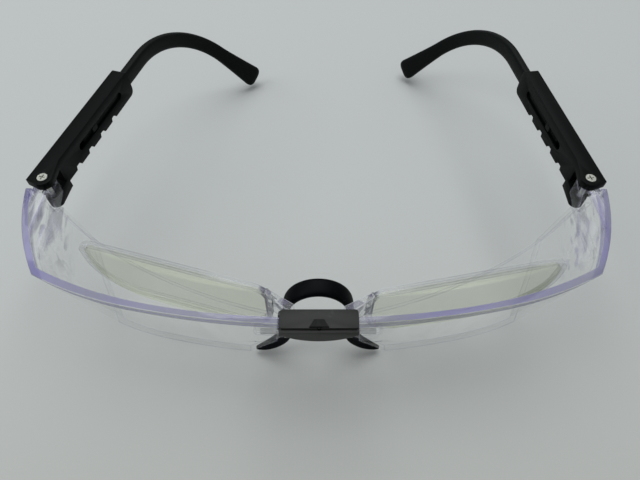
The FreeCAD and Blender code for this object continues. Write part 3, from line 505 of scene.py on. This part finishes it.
def softened(node, width, materials, segments=2, clamp=False):
    """A merged copy of a CAD node whose sharp edges get a small round; a second material, if there
    is one, goes on those rounds, as light catches the edges of a clear moulding."""
    shape = bmesh.new()
    shape.from_mesh(NODES[node].data)
    bmesh.ops.remove_doubles(shape, verts=shape.verts, dist=MERGE_DISTANCE)
    bmesh.ops.dissolve_limit(shape, angle_limit=FLAT_TURN, verts=shape.verts, edges=shape.edges)
    for face in shape.faces:
        face.smooth = True
        face.material_index = 0
    mesh = bpy.data.meshes.new(f"{node}_soft")
    shape.to_mesh(mesh)
    shape.free()
    piece = stand_in(f"{node}_finished", mesh, node, materials)
    round_off = piece.modifiers.new("edge_round", "BEVEL")
    round_off.width = width
    round_off.segments = segments
    round_off.limit_method = "ANGLE"
    round_off.angle_limit = ROUND_TURN
    round_off.use_clamp_overlap = clamp
    round_off.harden_normals = True
    round_off.material = len(materials) - 1
    return piece


def swept_mesh(name, points, wide, tall, across, above, power):
    """A rounded bar: at each point of a path, the superellipse |u/wide|^p + |v/tall|^p = 1 lies in
    the plane of the unit vectors across and above. Both ends are closed by a fan to their middle."""
    around = np.linspace(0, 2 * np.pi, RING_POINTS, endpoint=False)
    u, v = (np.sign(wave) * np.abs(wave) ** (2 / power) for wave in (np.cos(around), np.sin(around)))
    rings = (points[:, None] + across[:, None] * (wide[:, None] * u)[..., None]
             + above[:, None] * (tall[:, None] * v)[..., None])
    count, size = rings.shape[:2]
    verts = np.concatenate([rings.reshape(-1, 3), points[[0, -1]]])
    ring = np.arange(size)
    after = (ring + 1) % size
    starts = np.arange(count - 1)[:, None] * size
    quads = np.stack([starts + ring, starts + after, starts + size + after, starts + size + ring], -1)
    last_start = (count - 1) * size
    first = np.stack([np.full(size, count * size), after, ring], -1)
    last = np.stack([np.full(size, count * size + 1), last_start + ring, last_start + after], -1)
    mesh = bpy.data.meshes.new(name)
    mesh.from_pydata(verts.tolist(), [], quads.reshape(-1, 4).tolist() + first.tolist() + last.tolist())
    shape = bmesh.new()
    shape.from_mesh(mesh)
    bmesh.ops.recalc_face_normals(shape, faces=shape.faces)
    for face in shape.faces:
        face.smooth = len(face.verts) == 4
    shape.to_mesh(mesh)
    shape.free()
    return mesh


def joined(name, meshes):
    """One mesh out of several."""
    shape = bmesh.new()
    for mesh in meshes:
        shape.from_mesh(mesh)
    whole = bpy.data.meshes.new(name)
    shape.to_mesh(whole)
    shape.free()
    return whole


# ---------------------------------------------------------------- ear stems

HINGE_HALF, HINGE_BACK = 0.0819, 0.0477
TOE_IN = {"right": np.radians(8.0), "left": np.radians(15.2)}
STEM_ACROSS, STEM_HEIGHT = 0.0015, BROW_TOP - 0.0035
STEM_START, STEM_BEND, STEM_RADIUS = 0.0205, 0.0644, 0.0416
STEM_TURN, STEM_ROLL, STEM_TAIL = np.radians(66.5), np.radians(34.3), 0.0229
STEM_WIDE, STEM_TALL, TIP_FLARE, TIP_LENGTH = 0.0017, 0.0029, 0.00185, 0.003
STUD_OUT, STUD_PLACE, STUD_HALF, STUD_RINGS = (0.0003, -0.0009), 0.0271, (0.0016, 0.0012), 8
SHEATH_ROUND, LATCH_ROUND, INSERT_ROUND, SHIELD_ROUND = 0.00035, 0.00025, 0.00028, 0.00022


def ear_stem_mesh(side_name):
    """Straight bar, then an arc of constant radius that turns down and inward, then a straight tail
    that grows taller; the tip narrows along a quarter ellipse. A stud stands on the straight bar."""
    side = SIDES[side_name]
    down_in = np.array([-side * np.sin(STEM_ROLL), 0, -np.cos(STEM_ROLL)])
    ahead = np.array([0.0, 1.0, 0.0])
    arc = STEM_RADIUS * STEM_TURN
    straight = STEM_BEND - STEM_START
    length = straight + arc + STEM_TAIL
    tip_start = length - TIP_LENGTH
    along = np.concatenate([[0, straight * 0.5], np.linspace(straight, straight + arc, 36),
                            np.linspace(straight + arc + 0.002, tip_start, 10),
                            length - TIP_LENGTH * (1 - np.sin(np.linspace(0.15, np.pi / 2 * 0.97, 9)))])
    turned = np.clip((along - straight) / STEM_RADIUS, 0, STEM_TURN)
    tail = np.clip(along - straight - arc, 0, None)
    heading = ahead * np.cos(turned)[:, None] + down_in * np.sin(turned)[:, None]
    bowed = (ahead * (np.minimum(along, straight) + STEM_RADIUS * np.sin(turned))[:, None]
             + down_in * (STEM_RADIUS * (1 - np.cos(turned)))[:, None])
    points = bowed + heading * tail[:, None] + np.array([side * STEM_ACROSS, STEM_START, STEM_HEIGHT])
    narrow = np.sqrt(np.clip(1 - (np.clip(along - tip_start, 0, None) / TIP_LENGTH) ** 2, 0, 1))
    flare = TIP_FLARE * np.clip(tail / STEM_TAIL, 0, 1) ** 1.2
    tall = (STEM_TALL + flare) * (0.35 + 0.65 * narrow)
    wide = (STEM_WIDE + flare / 3) * (0.15 + 0.85 * narrow)
    upright = np.array([0.0, 0.0, 1.0])
    hinge_line = np.cross(ahead, down_in)
    # The section's own upright turns with the path about the bend's hinge line.
    cosine, sine = np.cos(turned)[:, None], np.sin(turned)[:, None]
    along_line = (upright @ hinge_line) * hinge_line
    above = (upright - along_line) * cosine + np.cross(hinge_line, upright) * sine + along_line
    across = np.cross(heading, above)
    bar = swept_mesh(f"{side_name}_stem_bar", *toed_in(side_name, points, wide, tall, across, above), 3.2)
    # The guide stud: a short rounded block that looks out through the sheath's slot.
    out = np.linspace(*STUD_OUT, STUD_RINGS)
    swell = np.clip(1 - ((out - out[0]) / (out[-1] - out[0])) ** 6, 0.3, 1) ** (1 / 4)
    block = np.stack([side * out, np.full(STUD_RINGS, STUD_PLACE), np.full(STUD_RINGS, STEM_HEIGHT)], 1)
    lengthwise, upward = (np.tile(way, (STUD_RINGS, 1)) for way in (ahead, upright))
    half_long, half_tall = (half * swell for half in STUD_HALF)
    stud = swept_mesh(f"{side_name}_stem_stud",
                      *toed_in(side_name, block, half_long, half_tall, lengthwise, upward), 5.0)
    return joined(f"{side_name}_ear_stem_soft", [bar, stud])


def toed_in(side_name, points, wide, tall, across, above):
    """A bar's rings turned about their hinge by the temple's toe-in and set in the frame."""
    toe = SIDES[side_name] * TOE_IN[side_name]
    turn = np.array([[np.cos(toe), -np.sin(toe), 0], [np.sin(toe), np.cos(toe), 0], [0, 0, 1]])
    hinge = np.array([SIDES[side_name] * HINGE_HALF, HINGE_BACK + BROW, 0])
    return points @ turn.T + hinge, wide, tall, across @ turn.T, above @ turn.T


for side_name in SIDES:
    stand_in(f"{side_name}_ear_stem_finished", ear_stem_mesh(side_name), f"{side_name}_ear_stem",
             [FINISHES["ear_stem"]])
    softened(f"{side_name}_temple_sheath", SHEATH_ROUND, [FINISHES["temple_sheath"]], clamp=True)

softened("latch_housing", LATCH_ROUND, [FINISHES["latch_housing"]], clamp=True)
softened("insert_frame", INSERT_ROUND, [FINISHES["insert_frame"], INSERT_EDGE_PAINTED_LIGHT])
softened("visor_shield", SHIELD_ROUND, [FINISHES["visor_shield"], SHIELD_EDGE_PAINTED_LIGHT], segments=1)


# ---------------------------------------------------------------- nose saddle

SADDLE_CENTRE, SADDLE_MID, SADDLE_LEG = 0.0234, 0.0095, 0.0115
SADDLE_FOOT_BEND, SADDLE_FOOT_TURNS = 0.0171, np.radians((23.8, 72.4))
SADDLE_MIDDLE_BACK, SADDLE_LEAN = 0.0123, np.radians(9.0)
SADDLE_WIDE, SADDLE_THICK, SADDLE_TAPER = 0.0027, 0.0011, 0.0125
EAR_MIDDLE = (0.0109, 0.0115, 0.02275)
EAR_HALF = (0.0010, 0.0029, 0.00245)
EAR_RINGS = 15


def saddle_mesh():
    """Half the strip runs from the crown's quarter circle, down a straight leg, and outward on a
    larger arc to the foot; the other half mirrors it. The strip is widest over the nose and draws in
    to narrow, thin tips along a square root curve. Its plane leans, with the feet forward."""
    crown = np.linspace(0, np.pi / 2, 16)
    start, end = SADDLE_FOOT_TURNS
    bend = np.linspace(start, end, 18)[1:]
    half_x = np.concatenate([SADDLE_MID * np.sin(crown), [SADDLE_MID] * 4,
                             SADDLE_MID + SADDLE_FOOT_BEND * (np.cos(start) - np.cos(bend))])
    half_z = np.concatenate([SADDLE_CENTRE + SADDLE_MID * np.cos(crown),
                             np.linspace(SADDLE_CENTRE, SADDLE_LEG, 5)[1:],
                             SADDLE_LEG - SADDLE_FOOT_BEND * (np.sin(bend) - np.sin(start))])
    x = np.concatenate([-half_x[:0:-1], half_x])
    z = np.concatenate([half_z[:0:-1], half_z])
    y = SADDLE_MIDDLE_BACK + BROW + z * np.tan(SADDLE_LEAN)
    points = np.stack([x, y, z], 1)
    run = np.concatenate([[0], np.cumsum(np.linalg.norm(np.diff(points, axis=0), axis=1))])
    to_tip = np.minimum(run, run[-1] - run)
    heading = np.gradient(points, axis=0)
    heading /= np.linalg.norm(heading, axis=1)[:, None]
    wide_way = np.array([0, np.cos(SADDLE_LEAN), np.sin(SADDLE_LEAN)])
    thick_way = np.cross(heading, wide_way)
    thick_way /= np.linalg.norm(thick_way, axis=1)[:, None]
    wide_way = np.cross(thick_way, heading)
    share = np.sqrt(np.clip(to_tip / SADDLE_TAPER, 0.02, 1))
    wide, thick = SADDLE_WIDE * (0.10 + 0.90 * share), SADDLE_THICK * (0.30 + 0.70 * share)
    return swept_mesh("nose_saddle_strip", points, wide, thick, wide_way, thick_way, 2.8)


def saddle_ear_mesh(side):
    """A rounded block, a bar of the same superellipse section along y, between strip and boss."""
    along = np.sin(np.linspace(-np.pi / 2, np.pi / 2, EAR_RINGS))
    swell = np.clip(1 - np.abs(along) ** 8, 0.0, 1) ** (1 / 8)
    middle = np.array([side * EAR_MIDDLE[0], EAR_MIDDLE[1] + BROW, EAR_MIDDLE[2]])
    points = middle + along[:, None] * np.array([0, EAR_HALF[1], 0])
    across = np.tile([1.0, 0, 0], (EAR_RINGS, 1))
    above = np.tile([0, 0, 1.0], (EAR_RINGS, 1))
    return swept_mesh("nose_saddle_ear", points, EAR_HALF[0] * swell, EAR_HALF[2] * swell, across, above, 6.0)


saddle = joined("nose_saddle_soft", [saddle_mesh(), saddle_ear_mesh(1), saddle_ear_mesh(-1)])
stand_in("nose_saddle_finished", saddle, "nose_saddle", [FINISHES["nose_saddle"]])


# ---------------------------------------------------------------- button spring

SPRING_WIRE, SPRING_PITCH, SPRING_POINTS = 0.00009, 0.00032, 110


def spring_mesh():
    """Round wire along a helix: the angle grows evenly with height from the coil's foot to its top."""
    low, high = (np.array(corner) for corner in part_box("button_spring"))
    middle = (low + high) / 2
    radius = (high[0] - low[0]) / 2 - SPRING_WIRE
    rise = high[2] - low[2] - 2 * SPRING_WIRE
    turn = np.linspace(0, 2 * np.pi * rise / SPRING_PITCH, SPRING_POINTS)
    out = np.stack([np.cos(turn), np.sin(turn), 0 * turn], 1)
    height = low[2] + SPRING_WIRE + SPRING_PITCH * turn / (2 * np.pi)
    points = out * radius + np.stack([0 * turn + middle[0], 0 * turn + middle[1], height], 1)
    wire = np.full(SPRING_POINTS, SPRING_WIRE)
    upright = np.tile([0.0, 0, 1], (SPRING_POINTS, 1))
    return swept_mesh("button_spring_coil", points, wire, wire, out, upright, 2.0)


spring = stand_in("button_spring_finished", spring_mesh(), "button_spring", [FINISHES["button_spring"]])
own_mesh(spring)

for node in NODES:
    dress(node, finish_of(node))

add_camera()
add_floor()
add_area_light("ceiling", **CEILING)
add_area_light("window", **WINDOW)
world = bpy.data.worlds.new("studio")
world.use_nodes = True
background = world.node_tree.nodes["Background"]
background.inputs["Color"].default_value = WORLD_TINT
background.inputs["Strength"].default_value = WORLD_STRENGTH
bpy.context.scene.world = world
bpy.context.scene.view_settings.view_transform = "Standard"
